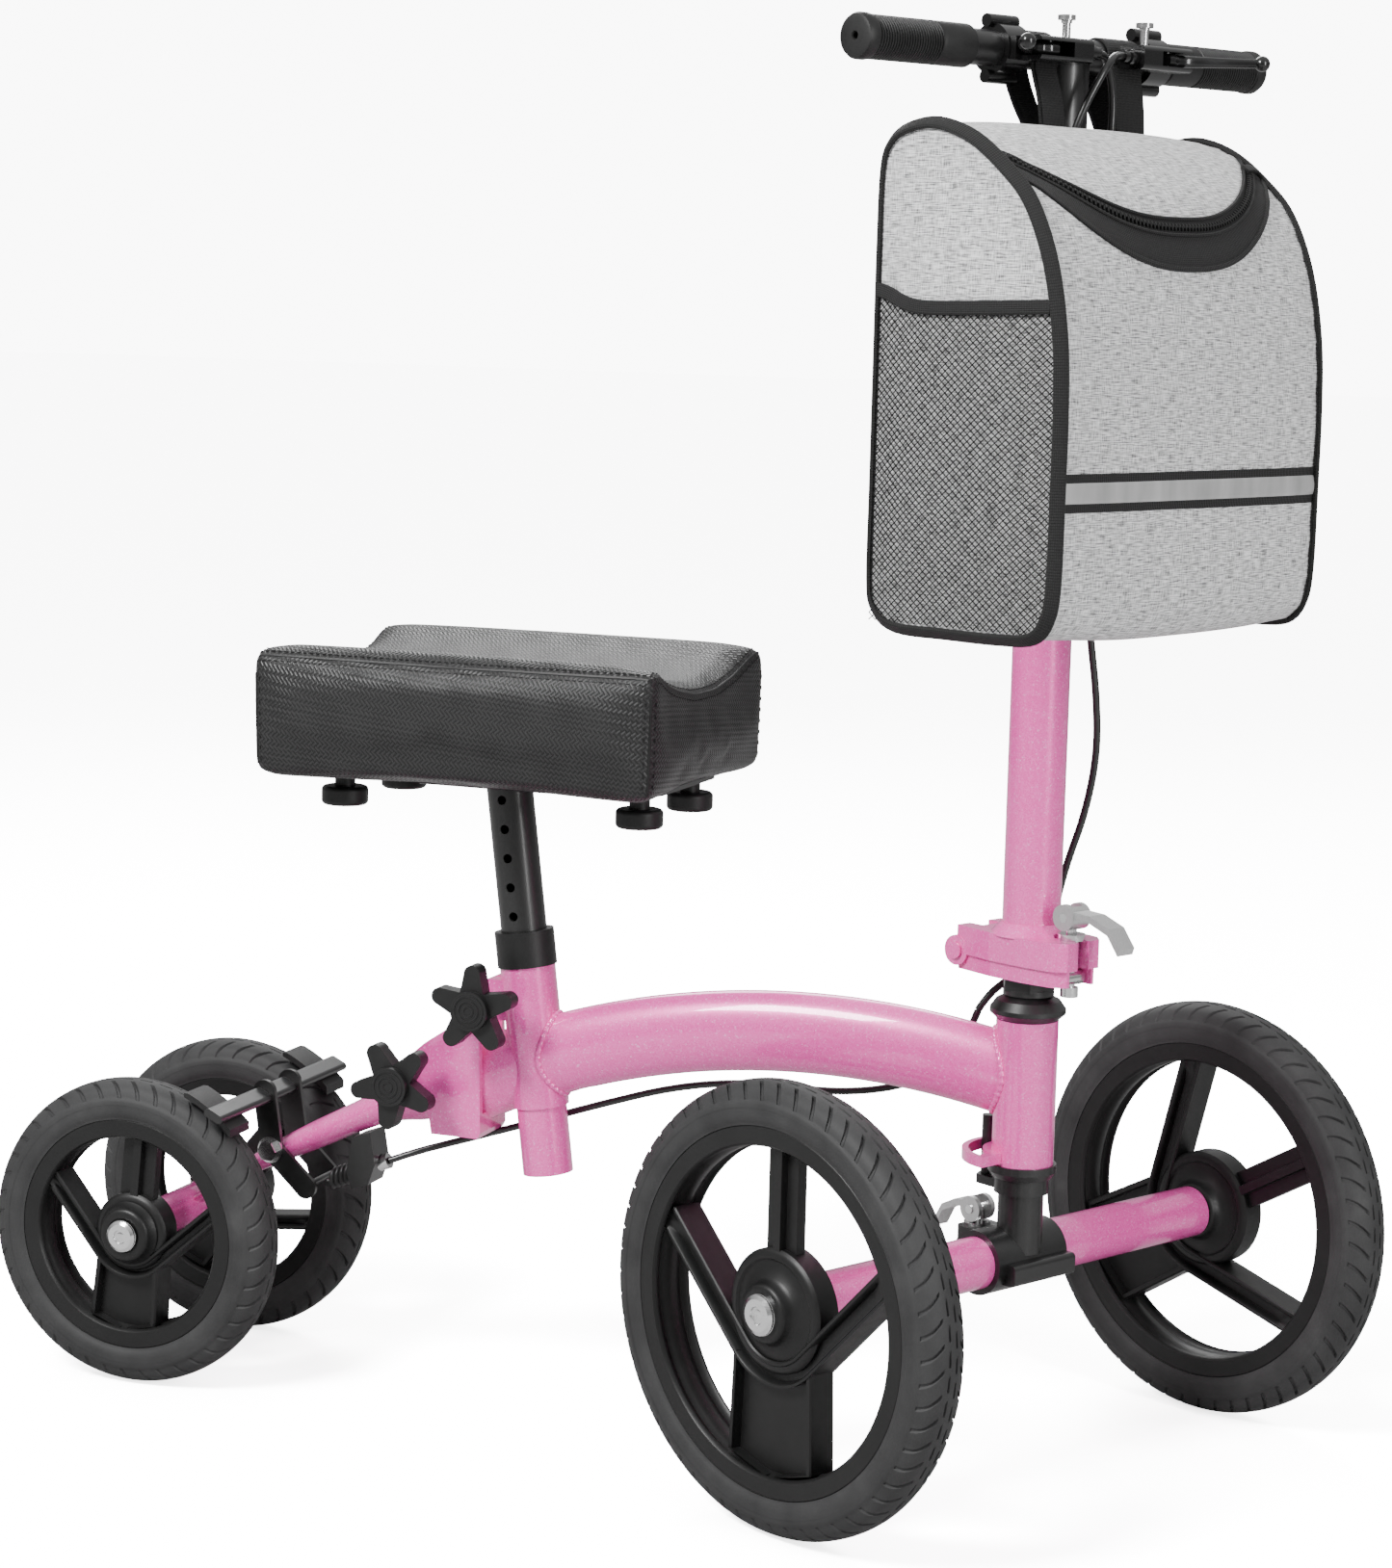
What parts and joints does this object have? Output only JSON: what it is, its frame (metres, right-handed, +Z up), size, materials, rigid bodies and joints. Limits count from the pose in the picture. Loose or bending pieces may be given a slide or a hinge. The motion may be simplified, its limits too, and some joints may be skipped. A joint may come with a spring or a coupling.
{
  "type": "knee scooter",
  "caption": "Steerable knee scooter: padded kneeling rest on an arched beam, large steered front wheels, small braked rear wheels, folding column with brake levers and a soft bag.",
  "frame": {"origin": "on the ground under the middle of the scooter's bounding box", "axes": "+X the way it travels, +Y the rider's left, +Z up"},
  "size_m": [0.9476, 0.5212, 0.948],
  "materials": {
    "pink_paint": "metallic gloss",
    "black_steel": "satin",
    "chrome": "polished",
    "lever_alloy": "satin",
    "black_alloy": "semi-gloss",
    "tyre": "matt",
    "rim_plastic": "satin",
    "knob_plastic": "fine grain",
    "grip_rubber": "ribbed matt",
    "cable_jacket": "smooth",
    "pad_cover": "woven-grain",
    "bag_cloth": "heathered weave",
    "webbing": "ribbed"
  },
  "bodies": {
    "frame": {"main_beam": "pink_paint", "head_tube": "pink_paint", "seat_tube": "pink_paint", "rear_bracket": "pink_paint", "rear_arm": "pink_paint", "rear_axle": "chrome", "headset_cups": "black_steel", "seat_collar": "knob_plastic", "joint_bolts": "chrome", "brake_bolt": "chrome", "brake_bracket": "black_steel", "brake_adjuster": "chrome", "brake_boot": "grip_rubber", "brake_cable_frame": "cable_jacket", "brake_cable_loop": "cable_jacket"},
    "wheel_rear_right": {"tyre_rear_right": "tyre", "rim_rear_right": "rim_plastic"},
    "wheel_rear_left": {"tyre_rear_left": "tyre", "rim_rear_left": "rim_plastic"},
    "seat": {"seat_post": "black_steel", "seat_plate": "black_steel", "pad": "pad_cover", "pad_knobs": "knob_plastic"},
    "seat_knob": {"seat_star_knob": "knob_plastic"},
    "arm_knob": {"arm_star_knob": "knob_plastic"},
    "brake": {"brake_arm": "black_steel", "brake_shoes": "grip_rubber"},
    "front": {"steerer": "black_steel", "lock_plate": "black_steel", "hex_locknut": "black_steel", "axle_clamp": "black_steel", "clamp_bolt": "chrome", "front_axle_tube": "pink_paint", "front_axle": "chrome", "fold_base": "pink_paint", "fold_pin": "pink_paint"},
    "axle_lever": {"clamp_lever": "lever_alloy"},
    "wheel_front_right": {"tyre_front_right": "tyre", "rim_front_right": "rim_plastic"},
    "wheel_front_left": {"tyre_front_left": "tyre", "rim_front_left": "rim_plastic"},
    "column": {"fold_block": "pink_paint", "fold_bolt": "chrome", "outer_stem": "pink_paint", "height_collar": "black_steel"},
    "joint_lever": {"fold_lever": "lever_alloy"},
    "collar_lever": {"height_lever": "lever_alloy"},
    "bar": {"inner_stem": "black_steel", "handlebar": "black_steel", "grips": "grip_rubber", "lever_mount_right": "black_alloy", "lever_mount_left": "black_alloy", "cable_adjusters": "black_alloy", "bag": "bag_cloth", "bag_straps": "webbing", "brake_cables_upper": "cable_jacket"},
    "lever_right": {"brake_lever_right": "black_alloy"},
    "lever_left": {"brake_lever_left": "black_alloy"},
    "pin_right": {"parking_pin_right": "chrome"},
    "pin_left": {"parking_pin_left": "chrome"}
  },
  "joints": [
    {"name": "steering", "type": "hinge", "parent": "frame", "child": "front", "pos_m": [0.252, 0, 0.25], "axis": [0, 0, 1], "range_deg": [-18.2, 71.8], "deforming": ["brake_cable_loop"]},
    {"name": "column_fold", "type": "hinge", "parent": "front", "child": "column", "pos_m": [0.21094, 0.02074, 0.347], "axis": [-0.4509, -0.8926, 0], "range_deg": [0, 45], "deforming": ["brake_cable_loop"]},
    {"name": "bar_height", "type": "slide", "parent": "column", "child": "bar", "axis": [0, 0, 1], "range_m": [-0.07, 0.05], "deforming": ["brake_cable_loop"]},
    {"name": "seat_height", "type": "slide", "parent": "frame", "child": "seat", "axis": [-0.1271, 0, 0.9919], "range_m": [-0.04, 0.08]},
    {"name": "front_right_spin", "type": "hinge", "parent": "front", "child": "wheel_front_right", "pos_m": [0.15162, -0.18098, 0.145], "axis": [0.4509, 0.8926, 0], "continuous": true},
    {"name": "front_left_spin", "type": "hinge", "parent": "front", "child": "wheel_front_left", "pos_m": [0.3381, 0.18819, 0.145], "axis": [0.4509, 0.8926, 0], "continuous": true},
    {"name": "rear_right_spin", "type": "hinge", "parent": "frame", "child": "wheel_rear_right", "pos_m": [-0.3686, -0.0741, 0.1086], "axis": [0, 1, 0], "continuous": true},
    {"name": "rear_left_spin", "type": "hinge", "parent": "frame", "child": "wheel_rear_left", "pos_m": [-0.3686, 0.0741, 0.1086], "axis": [0, 1, 0], "continuous": true},
    {"name": "brake_lever_left_pull", "type": "hinge", "parent": "bar", "child": "lever_left", "pos_m": [0.30675, 0.04629, 0.926], "axis": [0, 0, 1], "range_deg": [0, 25], "stiffness_Nm_per_rad": 0.6},
    {"name": "brake_lever_right_pull", "type": "hinge", "parent": "bar", "child": "lever_right", "pos_m": [0.25625, -0.05368, 0.926], "axis": [0, 0, -1], "range_deg": [0, 25], "stiffness_Nm_per_rad": 0.6},
    {"name": "brake_rock", "type": "hinge", "parent": "frame", "child": "brake", "pos_m": [-0.291, 0, 0.163], "axis": [0, -1, 0], "range_deg": [0, 2.9], "stiffness_Nm_per_rad": 4},
    {"name": "parking_pin_right_push", "type": "slide", "parent": "bar", "child": "pin_right", "axis": [0, 0, 1], "range_m": [-0.004, 0], "stiffness_N_per_m": 300},
    {"name": "parking_pin_left_push", "type": "slide", "parent": "bar", "child": "pin_left", "axis": [0, 0, 1], "range_m": [-0.004, 0], "stiffness_N_per_m": 300},
    {"name": "joint_lever_open", "type": "hinge", "parent": "column", "child": "joint_lever", "pos_m": [0.28324, -0.01578, 0.379], "axis": [-0.4509, -0.8926, 0], "range_deg": [0, 95]},
    {"name": "axle_lever_open", "type": "hinge", "parent": "front", "child": "axle_lever", "pos_m": [0.21808, 0.01713, 0.171], "axis": [0.4509, 0.8926, 0], "range_deg": [0, 60]},
    {"name": "collar_lever_open", "type": "hinge", "parent": "column", "child": "collar_lever", "pos_m": [0.23154, 0.02826, 0.789], "axis": [0, 0, -1], "range_deg": [0, 90]},
    {"name": "seat_knob_turn", "type": "hinge", "parent": "frame", "child": "seat_knob", "pos_m": [-0.1224, -0.052, 0.2855], "axis": [0, 1, 0], "continuous": true},
    {"name": "arm_knob_turn", "type": "hinge", "parent": "frame", "child": "arm_knob", "pos_m": [-0.182, -0.052, 0.227], "axis": [0, 1, 0], "continuous": true}
  ],
  "couplings": [
    {"joint": "brake_rock", "follows": "brake_lever_left_pull", "ratio": 0.116}
  ]
}
